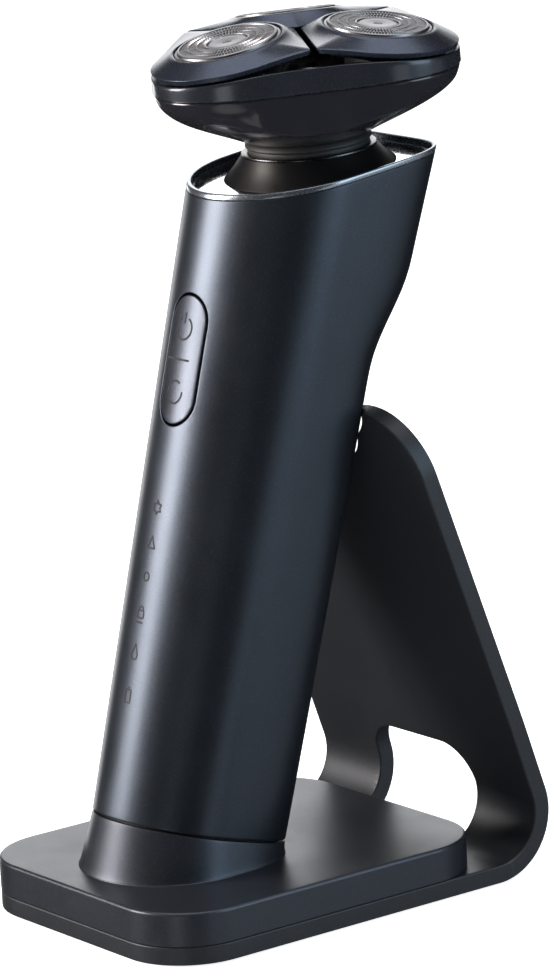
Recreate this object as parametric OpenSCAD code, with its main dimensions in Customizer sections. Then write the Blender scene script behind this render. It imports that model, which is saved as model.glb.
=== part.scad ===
// Rotary electric shaver standing in an angled charging stand.
// Millimetres. Origin at the centre of the stand's underside, front is -Y, up is +Z.

/* [Stand] */
// width of the base block and of the bent sheet
base_w = 70; // [60:1:80]
// length of the base block, front to back
base_l = 82; // [74:1:90]
// corner radius of the base in plan
base_r = 15; // [8:0.5:20]
// thickness of the bent metal sheet
sheet_t = 3.8; // [2:0.1:5]
// height of the base block above the sheet
block_h = 7.0; // [6:0.1:10]
// outer radius of the bend behind the base
bend_r = 13.5; // [9:0.5:20]
// forward lean of the back plate from vertical, degrees
plate_lean = 18.3; // [10:0.1:25]
// length of the back plate above the bend
plate_len = 87; // [70:1:100]
// radius of the plate's top corners
plate_r = 14; // [8:0.5:22]
// half-width of the oval notch in the plate's top edge
notch_r = 15; // [12:0.1:18]
// half-width of the window through the bend
window_hw = 16; // [10:0.5:22]

/* [Handle] */
// lean of the handle's axis, degrees
lean = 15.5; // [8:0.1:22]
// distance along the axis to the rim
rim_s = 135; // [120:1:150]
// slant of the rim plane against the axis, degrees
rim_slant = 22.5; // [0:0.5:30]
// wall of the handle shell
wall = 2.0; // [1.4:0.1:3]
// length of the rocker button
button_l = 26.6; // [20:0.2:32]
// width of the rocker button
button_w = 9.4; // [7:0.2:12]

/* [Head] */
// forward tilt of the head, degrees
head_tilt = 3.5; // [0:0.5:20]
// distance of each cutter from the head's centre
cutter_pcr = 17.6; // [15:0.1:20]
// outer radius of a cutter
cutter_r = 10.9; // [9:0.1:12]
// outward tilt of each cutter, degrees
pod_tilt = 9.2; // [0:0.2:15]
// teeth of the sun gear
sun_teeth = 21; // [15:3:27]
// teeth of each planet gear
planet_teeth = 23; // [15:1:29]

/* [Hidden] */
$fn = 48;
lift = 0.3;                       // non-slip pad under the sheet
z0 = lift;                        // underside of the sheet
z_foot = lift + sheet_t;          // top of the sheet's foot
z_top = z_foot + block_h;         // top of the base block
bend_y = base_l/2 + 0.9;          // centre of the bend
bend_z = lift + bend_r;
notch_h = 82.5;                   // centre of the notch, along the plate
hy = -13.3;                       // start of the handle's axis, on the gap plane
hz = 17.6 + lift;
head_y = 27.06;                   // centre of the cutter plane
head_z = 175.8 + lift;
motor_v = 6.4;                    // motor axis behind the handle's axis
ball_s = 134.8;                   // ball joint between motor and spindle
lobes = [270, 30, 150];
steps = 60;

// ---------- shared frames and shapes ----------

module on_handle() { translate([0, hy, hz]) rotate([-lean, 0, 0]) children(); }
module on_head() { translate([0, head_y, head_z]) rotate([head_tilt, 0, 0]) children(); }
module on_plate() { translate([0, bend_y, bend_z]) rotate([plate_lean, 0, 0]) children(); }
// a pod's own frame: +X outward, +Z along the cutter's axis, origin on the cutter's face
module on_pod(a) { on_head() rotate([0, 0, a]) translate([cutter_pcr, 0, 0])
  rotate([0, pod_tilt, 0]) children(); }

function mix(a, b, t) = a + (b - a)*t;
function clamp01(t) = min(1, max(0, t));
function smooth(t) = let (u = clamp01(t)) u*u*(3 - 2*u);
function mean(r, q, i = 0) = i == len(r) ? 0 : r[i][q]/len(r) + mean(r, q, i + 1);
function spow(x, p) = sign(x)*pow(abs(x), p);

// handle section at distance s along the axis, grown inward by w
function half_w(s) = mix(17.6, 21.5, s/146);
function front_d(s) = mix(17.8, 19.2, s/146);
function flare(s) = 6.6*smooth((s - 97)/24) + 0.065*max(0, s - 122);
function back_d(s) = mix(20.5, 16.4, s/146) + flare(s);
function sect(t, s, w) = let (u = clamp01(s/146), f = sin(t) < 0,
    n = f ? mix(2.0, 1.9, u) : mix(3.2, 6, u), d = f ? front_d(s) : back_d(s))
  [(half_w(s) - w)*spow(cos(t), 2/n), (d - w)*spow(sin(t), 2/n)];
function sect_ring(s, w) = [for (i = [0 : steps - 1]) let (p = sect(i*360/steps, s, w))
  [p[0], p[1], s]];

// ring places along the axis, closer together over the flare
ring_s = [20, 40, 60, 80, 93, 97, 100, 103, 106, 109, 112, 115, 118, 121, 126, 133, 140, 146];
module handle_loft(s0, s1, w) {
  rings = [for (s = concat([s0], [for (b = ring_s) if (b > s0 + 0.6 && b < s1 - 0.6) b], [s1]))
    sect_ring(s, w)];
  poly_loft(rings);
}
// closed body through rings of equally many points, each end closed by a fan
module poly_loft(rings) {
  m = len(rings[0]); k = len(rings);
  ends = [for (r = [rings[0], rings[k - 1]]) [for (q = [0, 1, 2]) mean(r, q)]];
  pts = concat([for (r = rings) each r], ends);
  sides = [for (j = [0 : k - 2], i = [0 : m - 1]) each
    let (a = j*m + i, b = j*m + (i + 1)%m) [[a, a + m, b], [b, a + m, b + m]]];
  fans = [for (i = [0 : m - 1]) each let (n = (i + 1)%m, t = (k - 1)*m)
    [[i, n, k*m], [t + n, t + i, k*m + 1]]];
  polyhedron(points = pts, faces = concat(sides, fans), convexity = 6);
}
// everything under the rim plane moved along the axis by d
module under_rim(d = 0) {
  translate([0, 0, rim_s + d/cos(rim_slant)]) rotate([rim_slant, 0, 0])
    translate([-50, -150, -260]) cube([100, 300, 260]);
}
module rim_frame(d = 0) { translate([0, 0, rim_s]) rotate([rim_slant, 0, 0])
  translate([0, 0, d]) children(); }

// slab with rounded corners in plan and a small fillet on its upper edges
module edge_profile(half, z_lo, z_hi, f) {
  translate([-half, z_lo]) square([2*half, z_hi - z_lo - f]);
  translate([-half + f, z_lo]) square([2*half - 2*f, z_hi - z_lo]);
  for (s = [-1, 1]) translate([s*(half - f), z_hi - f]) circle(f);
}
module filleted_block(w, l, r, z_lo, z_hi, f) {
  rotate([90, 0, 0]) linear_extrude(l - 2*r, center = true)
    edge_profile(w/2, z_lo, z_hi, f);
  rotate([90, 0, 90]) linear_extrude(w - 2*r, center = true)
    edge_profile(l/2, z_lo, z_hi, f);
  for (x = [-1, 1], y = [-1, 1]) translate([x*(w/2 - r), y*(l/2 - r), 0])
    rotate_extrude() intersection() {
      edge_profile(r, z_lo, z_hi, f);
      translate([0, z_lo - 1]) square([r + 1, z_hi - z_lo + 2]);
    }
}
module rounded_plan(w, l, r, h) {
  linear_extrude(h) {
    square([w - 2*r, l], center = true);
    square([w, l - 2*r], center = true);
    for (x = [-1, 1], y = [-1, 1]) translate([x*(w/2 - r), y*(l/2 - r)]) circle(r);
  }
}
module pill(l, w) {
  square([w, l - w], center = true);
  for (y = [-1, 1]) translate([0, y*(l - w)/2]) circle(w/2);
}
module tube(ro, ri, h) { difference() { cylinder(r = ro, h = h);
  translate([0, 0, -1]) cylinder(r = ri, h = h + 2); } }
// a pill-shaped prism through the handle's front wall, centred at distance s
module button_prism(l, w) {
  translate([0, -10, 93.6]) rotate([90, 0, 0]) linear_extrude(16) pill(l, w);
}

// ---------- stand ----------

screw_xy = [[-26, -31], [26, -31], [-26, 31], [26, 31]];
pad_w = 44; pad_l = 52;             // the non-slip pad under the sheet

// side profile of the bent sheet: foot, bend and leaning plate
module sheet_profile() difference() {
  union() {
    translate([-base_l/2, z0]) square([base_l/2 + bend_y, bend_z - z0]);
    translate([bend_y, bend_z]) {
      circle(bend_r, $fn = 96);
      rotate(plate_lean) square([bend_r, plate_len]);
    }
  }
  translate([-base_l/2 - 1, z_foot]) square([base_l/2 + 1 + bend_y, 2*bend_r]);
  translate([bend_y, bend_z]) {
    circle(bend_r - sheet_t, $fn = 96);
    rotate(plate_lean) translate([-1, 0]) square([bend_r - sheet_t + 1, plate_len + 1]);
  }
}
// what a rounded corner of radius r removes, in the quarter x > 0, y > 0
module corner_cut(r) difference() {
  translate([-r, -r]) square([r + 2, r + 2]);
  translate([-r, -r]) circle(r);
  translate([-r - 1, -3*r]) square([1, 4*r]);
}

module stand_plate() color([0.16, 0.17, 0.19]) difference() {
  rotate([90, 0, 90]) linear_extrude(base_w, center = true) sheet_profile();
  // rounded front corners of the foot and top corners of the plate
  for (s = [0, 1]) mirror([s, 0, 0]) {
    translate([base_w/2, -base_l/2, z0 - 1]) mirror([0, 1, 0]) linear_extrude(sheet_t + 2)
      corner_cut(base_r);
    on_plate() translate([base_w/2 - 2, bend_r + 1, plate_len]) rotate([90, 0, 0])
      linear_extrude(sheet_t + 2) corner_cut(plate_r);
    // the plate's side runs in by 2 mm towards its top
    on_plate() translate([0, bend_r + 1, 0]) rotate([90, 0, 0]) linear_extrude(sheet_t + 2)
      polygon([[base_w/2, 16], [base_w/2 + 3, 16], [base_w/2 + 3, plate_len + 1],
        [base_w/2 - 2, plate_len + 1], [base_w/2 - 2, plate_len - plate_r]]);
  }
  // oval notch for the back of the handle, with bevelled tips
  on_plate() translate([0, bend_r + 1, 0]) rotate([90, 0, 0]) linear_extrude(sheet_t + 2)
    polygon(concat([for (i = [0 : 36]) let (a = 158 + i*224/36)
      [notch_r*cos(a), notch_h + 9.5*sin(a)]],
      [[notch_r + 0.2, plate_len + 0.1], [notch_r + 0.2, plate_len + 2],
       [-notch_r - 0.2, plate_len + 2], [-notch_r - 0.2, plate_len + 0.1]]));
  // the notch's tips are bevelled to clear the handle
  on_handle() handle_loft(72, 96, -0.5);
  // window: upper end, then through the bend to its rounded lower end
  on_plate() translate([0, bend_r + 2, 0]) rotate([90, 0, 0]) linear_extrude(sheet_t + 7) {
    translate([-window_hw - 0.25, -9]) square([2*window_hw + 0.5, 8.3]);
    translate([-window_hw + 8, -9]) square([2*window_hw - 16, 9 + 7.3]);
    for (x = [-1, 1]) translate([x*(window_hw - 8), -0.7]) circle(8);
  }
  translate([0, 0, -1]) linear_extrude(bend_z - 1.3) {
    translate([-window_hw, 50]) square([2*window_hw, 20]);
    translate([-window_hw + 6, 44]) square([2*window_hw - 12, 8]);
    for (x = [-1, 1]) translate([x*(window_hw - 6), 50]) circle(6);
  }
  // screw holes, countersunk below, and a pocket for the pad
  for (p = screw_xy) translate([p[0], p[1], z0 - 1]) {
    cylinder(r = 1.6, h = sheet_t + 2);
    cylinder(r = 3.1, h = 2.2);
  }
  translate([0, 0, z0 - 1]) rounded_plan(pad_w + 0.4, pad_l + 0.4, 6.2, 1.9);
}

module base_housing() color([0.2, 0.21, 0.24]) difference() {
  union() {
    difference() {
      filleted_block(base_w, base_l, base_r, z_foot, z_top, 0.9);
      translate([0, 0, z_foot - 1]) rounded_plan(base_w - 5, base_l - 5, base_r - 2.5, block_h - 1);
    }
    for (p = screw_xy) translate([p[0], p[1], z_foot]) cylinder(r = 3, h = block_h - 1);
  }
  for (p = screw_xy) translate([p[0], p[1], z_foot - 1]) cylinder(r = 1.0, h = 6);
  // opening for the cradle cup
  translate([0, 0, z_foot - 1]) linear_extrude(block_h + 2) polygon(foot_outline(1.2));
  // charging inlet through the back wall
  translate([-4.8, base_l/2 - 3.5, z_foot + 1.4]) cube([9.6, 5, 3.8]);
}

// cradle collar: the gap ring dropped along the axis to the block's top, slightly flared
function gap_pt(t, w) = let (p = sect(t, 0, w)) [p[0], hy + p[1]*cos(lean), hz - p[1]*sin(lean)];
function drop_pt(t, w, z) = let (p = gap_pt(t, w), d = max(0, p[2] - z), k = 1 + 0.0062*d)
  [p[0]*k*1.02, p[1] - d*tan(lean) + (sin(t) < 0 ? -0.03*d : 0), z];
function foot_outline(w) = [for (i = [0 : steps - 1]) let (p = drop_pt(i*360/steps, w, z_top))
  [p[0], p[1]]];

module cradle_cup() color([0.2, 0.21, 0.24]) difference() {
  union() {
    poly_loft([[for (i = [0 : steps - 1]) drop_pt(i*360/steps, 0, z_top)],
      [for (i = [0 : steps - 1]) let (a = drop_pt(i*360/steps, 0, z_top),
        b = gap_pt(i*360/steps, 0), m = (a + b)/2) [m[0]*0.992, m[1], m[2]]],
      [for (i = [0 : steps - 1]) gap_pt(i*360/steps, 0)]]);
    translate([0, 0, z_foot + 0.9]) linear_extrude(z_top - z_foot - 0.9)
      polygon(foot_outline(1.4));
  }
  // socket for the bottom cap
  on_handle() handle_loft(-6.2, 6, 1.25);
  // hollow under the socket's floor
  intersection() {
    translate([0, 0, 2]) linear_extrude(20) polygon(foot_outline(3.4));
    on_handle() translate([-40, -40, -48]) cube([80, 80, 40]);
  }
  // holes for the pins
  on_handle() for (x = [-5, 5]) translate([x, 0, -20]) cylinder(r = 1.25, h = 18);
}

module charge_pins() color([0.8, 0.68, 0.35]) on_handle() for (x = [-5, 5])
  translate([x, 0, -9.2]) {
    cylinder(r = 1.15, h = 2.8);
    cylinder(r = 0.8, h = 4.15);
  }

module base_circuit_board() color([0.1, 0.3, 0.16]) {
  translate([-8.5, -24.5, z_foot + 0.9]) cube([17, 17, 1.2]);
  translate([-3, -23, z_foot + 2.1]) cube([6, 6, 1.4]);
  translate([4.5, -16, z_foot + 2.1]) cube([2.5, 4, 1]);
}

module base_wiring() color([0.6, 0.1, 0.1]) for (x = [-6.5, -4.5])
  translate([x, -9, z_foot + 0.43]) rotate([-90, 0, 0]) cylinder(r = 0.4, h = 37.9);

module charge_inlet() color([0.75, 0.75, 0.78]) translate([0, base_l/2 - 7.6, z_foot + 3.3])
  rotate([-90, 0, 0]) {
    difference() {
      linear_extrude(7.4) rotate([0, 0, 90]) pill(9, 3.2);
      translate([0, 0, 1.2]) linear_extrude(7.4) rotate([0, 0, 90]) pill(8.4, 2.6);
    }
    translate([-3.2, -0.35, 1]) cube([6.4, 0.7, 5.2]);
  }

module inlet_board() color([0.1, 0.3, 0.16])
  translate([-7, base_l/2 - 12, z_foot + 0.6]) cube([14, 9, 1.0]);

module base_screws() color([0.6, 0.6, 0.62]) for (p = screw_xy)
  translate([p[0], p[1], z0 + 0.15]) difference() {
    union() { cylinder(r = 2.9, h = 1.0); cylinder(r = 0.98, h = 7.6); }
    translate([-2, -0.35, -1]) cube([4, 0.7, 1.5]);
  }

module foot_pad() color([0.06, 0.06, 0.06]) rounded_plan(pad_w, pad_l, 6, 1.2);

// ---------- handle ----------

module handle_shell() color([0.2, 0.22, 0.26]) on_handle() difference() {
  intersection() { handle_loft(0.5, 150, 0); under_rim(-1.1); }
  handle_loft(-1, 152, wall);
  button_prism(button_l + 0.8, button_w + 0.8);
  for (s = icon_s) translate([0, -10, s]) rotate([90, 0, 0]) cylinder(r = 1.2, h = 14);
}
icon_s = [63.6, 56.3, 49.6, 42.2, 34.1, 25.6];

module rim_trim() color([0.55, 0.58, 0.64]) on_handle() difference() {
  intersection() { handle_loft(110, 150, 0); under_rim(); }
  handle_loft(108, 152, wall - 0.5);
  under_rim(-1.1);
}

module neck_deck() color([0.85, 0.86, 0.88]) on_handle() difference() {
  intersection() { handle_loft(110, 150, wall + 0.15); under_rim(-2.0); }
  under_rim(-3.4);
  rim_frame(-8) translate([0, 8.5, 0]) cylinder(r = 8.5, h = 12);
}

// black neck: from an oval on the deck to a round top under the head
neck_top = -25.2;
function neck_ring_pt(t, u) = let (a = [18.2*cos(t), 5.6 + 17.2*sin(t), 0],
    ca = cos(rim_slant - lean), sa = sin(rim_slant - lean),
    o = [0, hy + rim_s*sin(lean), hz + rim_s*cos(lean)],
    g = [a[0], o[1] + a[1]*ca + 1.95*sa, o[2] + a[1]*sa - 1.95*ca],
    ch = cos(head_tilt), sh = sin(head_tilt),
    b = [13.7*cos(t), head_y + 13.7*sin(t)*ch - neck_top*sh,
      head_z + 13.7*sin(t)*sh + neck_top*ch])
  mix(g, b, u);
module neck_housing() color([0.05, 0.05, 0.06]) difference() {
  union() {
    poly_loft([for (u = [0, 0.35, 0.7, 1]) [for (i = [0 : steps - 1])
      let (p = neck_ring_pt(i*360/steps, u), c = 1 - 0.05*sin(180*u),
        m = [0, mix(29.5, head_y + 1.5, u), p[2]]) m + (p - m)*c]]);
    on_head() translate([0, 0, neck_top - 1]) cylinder(r = 5.2, h = -17.5 - neck_top + 1);
    on_head() for (s = [0, 180]) rotate([0, 0, s]) translate([4.6, 0, gimbal_z])
      rotate([0, 90, 0]) cylinder(r = 0.8, h = 2.7);
  }
  on_head() translate([0, 0, -40]) cylinder(r = 3.8, h = 30);
  on_head() translate([0, 0, -40]) cylinder(r = 6, h = 13);
}
gimbal_z = -19.5;

module neck_ring() color([0.75, 0.76, 0.78]) on_head()
  translate([0, 0, neck_top]) tube(14.0, 12.4, 0.75);

module neck_boot() color([0.05, 0.05, 0.05]) on_head() difference() {
  union() {
    translate([0, 0, neck_top]) cylinder(r = 12.3, h = 1.5);
    translate([0, 0, neck_top + 1.5]) cylinder(r1 = 12.9, r2 = 12.1, h = 1.3);
  }
  translate([0, 0, neck_top - 1]) cylinder(r = 11.6, h = 6);
}

module bottom_cap() color([0.07, 0.07, 0.08]) on_handle() difference() {
  union() { handle_loft(-5, 0.45, 1.6); handle_loft(0.4, 6, 3.4); }
  handle_loft(-3, 8, 5);
  for (x = [-5, 5]) translate([x, 0, -7]) cylinder(r = 2.3, h = 6);
  for (v = [-9.5, 12]) translate([0, v, -7]) { cylinder(r = 1.2, h = 10);
    cylinder(r = 2.1, h = 3.2); }
}

module bottom_seal() color([0.03, 0.03, 0.03]) on_handle() difference() {
  handle_loft(1.6, 3.0, 2.05);
  handle_loft(0, 5, 3.35);
}

module charge_contacts() color([0.82, 0.7, 0.4]) on_handle() for (x = [-5, 5])
  translate([x, 0, -4.95]) cylinder(r = 2.2, h = 2.6);

module handle_screws() color([0.6, 0.6, 0.62]) on_handle() for (v = [-9.5, 12])
  translate([0, v, -4.6]) difference() {
    union() { cylinder(r = 2, h = 0.75); cylinder(r = 1.1, h = 15); }
    translate([-1.5, -0.3, -1]) cube([3, 0.6, 1.4]);
  }

module inner_frame() color([0.12, 0.12, 0.13]) on_handle() difference() {
  union() {
    translate([-11.5, -6.4, 9]) cube([23, 1.5, 118]);
    translate([-11.5, -5, 9]) cube([23, 18.5, 2.6]);
    translate([-11.5, -5, 81]) cube([23, 16, 2]);
    translate([-3, -12.2, 8.4]) cube([6, 7.3, 4]);
    for (x = [-11.5, 10]) translate([x, -5, 9]) cube([1.5, 8, 74]);
  }
  for (v = [-9.5, 12]) translate([0, v, 5]) cylinder(r = 1.15, h = 9);
}

module battery_cell() color([0.15, 0.35, 0.6]) on_handle() {
  translate([0, 4.6, 12.8]) cylinder(r = 9.1, h = 65);
  translate([0, 4.6, 77.8]) cylinder(r = 3, h = 1.2);
}

module battery_tabs() color([0.8, 0.8, 0.82]) on_handle() {
  translate([-3, -4.6, 12.1]) cube([6, 12, 0.5]);
  translate([-3, -4.6, 79.3]) cube([6, 12, 0.5]);
}

module motor_can() color([0.6, 0.61, 0.63]) on_handle() translate([0, motor_v, 101])
  difference() {
    union() { cylinder(r = 9.4, h = 23); translate([0, 0, 23]) cylinder(r = 3, h = 1.6); }
    translate([0, 0, 1.5]) cylinder(r = 8.6, h = 20);
    translate([0, 0, 17]) cylinder(r = 1.06, h = 9);
  }

module motor_clamp() color([0.12, 0.12, 0.13]) on_handle() difference() {
  union() {
    translate([0, motor_v, 118]) cylinder(r = 11.6, h = 4);
    translate([-9, -5, 118]) cube([18, 4, 4]);
  }
  translate([0, motor_v, 117]) cylinder(r = 9.5, h = 6);
  translate([-15, -10, 117]) cube([30, 5.15, 6]);
}

module main_circuit_board() color([0.08, 0.28, 0.15]) on_handle() difference() {
  union() {
    translate([-10.5, -8.2, 14]) cube([21, 1.2, 110]);
    translate([-4, -9.6, 68]) cube([7, 1.4, 7]);
    translate([5, -9.2, 30]) cube([3, 1, 5]);
    for (s = icon_s) translate([-1, -9.0, s - 1]) cube([2, 0.8, 2]);
  }
}

module tact_switches() color([0.3, 0.3, 0.32]) on_handle() for (s = [86.5, 100.5]) {
  translate([-2.2, -11.2, s - 2.2]) cube([4.4, 3, 4.4]);
  translate([0, -11.2, s]) rotate([90, 0, 0]) cylinder(r = 1.1, h = 1.2);
}

module indicator_windows() color([0.55, 0.57, 0.6]) on_handle() for (s = icon_s)
  translate([0, -(front_d(s) - 3.2), s]) rotate([90, 0, 0]) cylinder(r = 1.12, h = 3.2);

module button_bracket() color([0.1, 0.1, 0.1]) on_handle() difference() {
  union() for (x = [-5.8, 4.4]) translate([x, -14.2, 90.8]) cube([1.4, 6, 5.6]);
  translate([-10, -12.8, 93.6]) rotate([0, 90, 0]) cylinder(r = 0.85, h = 20);
}

module spindle_bearing() color([0.72, 0.6, 0.3]) on_head()
  translate([0, 0, -25.5]) tube(3.75, 1.06, 2.6);

// ---------- button ----------

module mode_button() color([0.24, 0.26, 0.3]) on_handle() difference() {
  union() {
    intersection() {
      button_prism(button_l, button_w);
      difference() { handle_loft(76, 112, -0.12); handle_loft(74, 114, wall - 0.1); }
    }
    for (s = [86.5, 100.5]) translate([0, -12.75, s]) rotate([90, 0, 0])
      cylinder(r = 1.3, h = front_d(s) - 13.6);
    translate([-1.6, -18, 92]) cube([3.2, 6, 3.2]);
    translate([-5.6, -12.8, 93.6]) rotate([0, 90, 0]) cylinder(r = 0.8, h = 11.2);
  }
  // divider, power symbol and broken circle, engraved
  translate([-3.9, -21, 93.45]) cube([6.1, 21 - front_d(93.6) + 1.1, 0.3]);
  translate([0, -front_d(100) + 1.0, 100.3]) rotate([90, 0, 0]) {
    difference() { tube(2.1, 1.75, 4); translate([-0.75, 0.5, -1]) cube([1.5, 3, 6]); }
    translate([-0.18, 0.7, 0]) cube([0.36, 2.0, 4]);
  }
  translate([0, -front_d(86.5) + 1.0, 86.6]) rotate([90, 0, 0]) difference() {
    tube(2.1, 1.75, 4);
    for (a = [35, 215]) rotate([0, 0, a]) translate([1, -0.5, -1]) cube([3, 1, 6]);
  }
}

// ---------- drive ----------

module motor_shaft() color([0.7, 0.7, 0.72]) on_handle() translate([0, motor_v, 0]) {
  translate([0, 0, 103.2]) cylinder(r = 8.1, h = 18.6);
  translate([0, 0, 102.9]) cylinder(r = 1, h = ball_s - 102.9);
  translate([0, 0, ball_s]) sphere(r = 1.9);
}

module drive_spindle() color([0.85, 0.85, 0.82]) on_head() {
  difference() {
    union() { translate([0, 0, -32]) cylinder(r = 3.2, h = 5.2);
      translate([0, 0, -27]) cylinder(r = 1.0, h = 7.5); }
    translate([0, 0, -29.9]) sphere(r = 2.25);
    translate([0, 0, -33]) cylinder(r = 2.25, h = 3.1);
  }
  translate([0, 0, gimbal_z]) sphere(r = 1.6);
}

// ---------- head ----------

module gimbal_ring() color([0.3, 0.3, 0.32]) on_head() difference() {
  union() {
    translate([0, 0, gimbal_z - 1.5]) tube(7.7, 6.0, 3);
    for (a = [90, 270]) rotate([0, 0, a]) translate([7.0, 0, gimbal_z]) rotate([0, 90, 0])
      cylinder(r = 0.8, h = 3.3);
  }
  translate([-9, 0, gimbal_z]) rotate([0, 90, 0]) cylinder(r = 0.85, h = 18);
}

module head_coupling() color([0.12, 0.12, 0.13]) on_head() difference() {
  translate([0, 0, -22.1]) tube(11.2, 8.5, 5.6);
  translate([0, -12, gimbal_z]) rotate([-90, 0, 0]) cylinder(r = 0.85, h = 24);
}

// lobed outline: mean radius a, lobe height b, z raised by w in the valleys
function lobed(a, b, z, w = 0) = [for (i = [0 : 71]) let (t = i*5, c = cos(3*(t - 270)),
  r = a + b*c) [r*cos(t), r*sin(t), z + w*(1 - c)/2]];

module head_bowl() color([0.06, 0.06, 0.07]) on_head() difference() {
  poly_loft([lobed(12.6, 0, -22.3), lobed(14.2, 0.1, -21.5), lobed(17.2, 0.8, -19.8),
    lobed(20.6, 1.9, -17.9), lobed(24, 3.1, -15.7, 0.2), lobed(26.6, 3.8, -13.6, 0.6),
    lobed(28.3, 4.2, -11.7, 0.8), lobed(28.9, 4.3, -9.4, 0.7)]);
  poly_loft([lobed(20.5, 2.2, -14.9), lobed(24.2, 3.6, -13.0), lobed(26.3, 4.0, -11.2),
    lobed(26.9, 4.1, -7)]);
  translate([0, 0, -24]) cylinder(r = 11.5, h = 12);
  for (a = lobes) rotate([0, 0, a + 60]) translate([14.6, 0, -16.8]) cylinder(r = 0.93, h = 3);
}

module head_band() color([0.08, 0.08, 0.09]) on_head() difference() {
  poly_loft([lobed(28.95, 4.3, -9.35, 0.7), lobed(29.15, 4.35, -8.4, 1.0),
    lobed(29.15, 4.35, -7.1, 1.3), lobed(28.9, 4.3, -6.2, 1.6)]);
  poly_loft([lobed(27.1, 4.1, -12), lobed(27.1, 4.1, -3)]);
}

module gear_plate() color([0.8, 0.8, 0.78]) on_head() difference() {
  union() {
    poly_loft([lobed(20.0, 2.0, -14.85), lobed(22.0, 2.8, -13.6)]);
    for (a = lobes) rotate([0, 0, a]) translate([planet_r, 0, -14]) cylinder(r = 1.0, h = 3.6);
  }
  translate([0, 0, -16]) cylinder(r = 3.06, h = 4);
  for (a = lobes) rotate([0, 0, a + 60]) translate([14.6, 0, -16]) cylinder(r = 0.9, h = 4);
}

module gear_plate_screws() color([0.6, 0.6, 0.62]) on_head() for (a = lobes)
  rotate([0, 0, a + 60]) translate([14.6, 0, -16.6]) {
    cylinder(r = 0.88, h = 3.1);
    translate([0, 0, 3.02]) cylinder(r = 1.6, h = 0.8);
  }

module cutter_frame() color([0.04, 0.04, 0.045]) on_head() difference() {
  union() {
    poly_loft([lobed(25.9, 3.9, -10.3), lobed(25.9, 3.9, -8.9)]);
    translate([0, 0, -9]) cylinder(r1 = 4.2, r2 = 3.0, h = 1.6);
  }
  for (a = lobes) rotate([0, 0, a]) translate([planet_r, 0, -12]) cylinder(r = 5.2, h = 8);
}

module coupling_clip() color([0.7, 0.7, 0.72]) on_head()
  translate([0, 0, -16.2]) tube(11.3, 9.4, 1.2);

module pod_springs() color([0.75, 0.75, 0.77]) on_head() for (a = lobes) rotate([0, 0, a])
  translate([8.2, 0, -8.85]) tube(1.4, 0.9, 2.3);

planet_r = cutter_pcr - 6.2*sin(pod_tilt);
gear_m = 2*planet_r/(sun_teeth + planet_teeth);
module gear_2d(n, turn) {
  rp = gear_m*n/2; rr = rp - 1.2*gear_m; rt = rp + 0.85*gear_m; a = 360/n;
  polygon([for (i = [0 : n - 1]) let (c = i*a + turn) each
    [for (q = [[rr, -0.335], [rp, -0.215], [rt, -0.1], [rt, 0.1], [rp, 0.215], [rr, 0.335]])
      [q[0]*cos(c + q[1]*a), q[0]*sin(c + q[1]*a)]]]);
}

module sun_gear() color([0.85, 0.85, 0.8]) on_head() difference() {
  union() {
    translate([0, 0, -12.9]) linear_extrude(1.9) gear_2d(sun_teeth, 270);
    translate([0, 0, -21.1]) cylinder(r = 3.0, h = 8.6);
  }
  translate([0, 0, -22]) cylinder(r = 2.0, h = 5.2);
}

module planet_gear(a) color([0.85, 0.85, 0.8]) on_head() rotate([0, 0, a])
  translate([planet_r, 0, 0]) {
    difference() {
      translate([0, 0, -12.9]) union() {
        linear_extrude(1.9) gear_2d(planet_teeth, 180 + 180/planet_teeth);
        cylinder(r = 2.4, h = 3.2);
      }
      translate([0, 0, -14]) cylinder(r = 1.06, h = 3.9);
    }
    translate([0, 0, -9.8]) cylinder(r = 1.0, h = 3.6);
    translate([0, 0, -6.12]) sphere(r = 1.6);
  }
module planet_gear_front() { planet_gear(lobes[0]); }
module planet_gear_right() { planet_gear(lobes[1]); }
module planet_gear_left() { planet_gear(lobes[2]); }

// pod shell: outline seen from the pod's centre, clipped by the gaps to its neighbours
function pod_reach(t) = let (a = abs(t > 180 ? t - 360 : t))
  a < 60 ? 15.8 : min(a < 149 ? 15.8/cos(a - 60) : 99, a > 61 ? 14.6/cos(a - 150) : 99);
function pod_rise(t) = let (a = abs(t > 180 ? t - 360 : t))
  lookup(a, [[0, 0], [15, 0.1], [30, 0.4], [45, 0.78], [60, 1.25], [75, 1.95], [90, 3.0],
    [105, 4.1], [180, 4.3]]);
function pod_edge(k, z, rise) = [for (i = [0 : 71]) let (t = i*5, r = pod_reach(t)*k)
  [r*cos(t), r*sin(t), z + rise*pod_rise(t)]];
function pod_top(r, z) = [for (i = [0 : 71]) let (t = i*5, x = r*cos(t))
  [x, r*sin(t), z - x*tan(pod_tilt)]];
module pod_shell(a) color([0.36, 0.4, 0.48]) difference() {
  on_head() rotate([0, 0, a]) {
    // the pin that the pod flexes about
    translate([30, 0, -7]) rotate([90, 0, 0]) cylinder(r = 0.6, h = 5, center = true);
    translate([cutter_pcr, 0, 0]) poly_loft([pod_edge(0.8, -7.0, 1), pod_edge(0.82, -5.95, 1),
      pod_edge(0.97, -5.85, 1), pod_edge(0.995, -4.85, 1), pod_top(11.9, -0.35), pod_top(11.2, -0.1)]);
  }
  on_pod(a) translate([0, 0, -14]) cylinder(r = cutter_r + 0.15, h = 20);
}
module pod_shell_front() { pod_shell(lobes[0]); }
module pod_shell_right() { pod_shell(lobes[1]); }
module pod_shell_left() { pod_shell(lobes[2]); }

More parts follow.
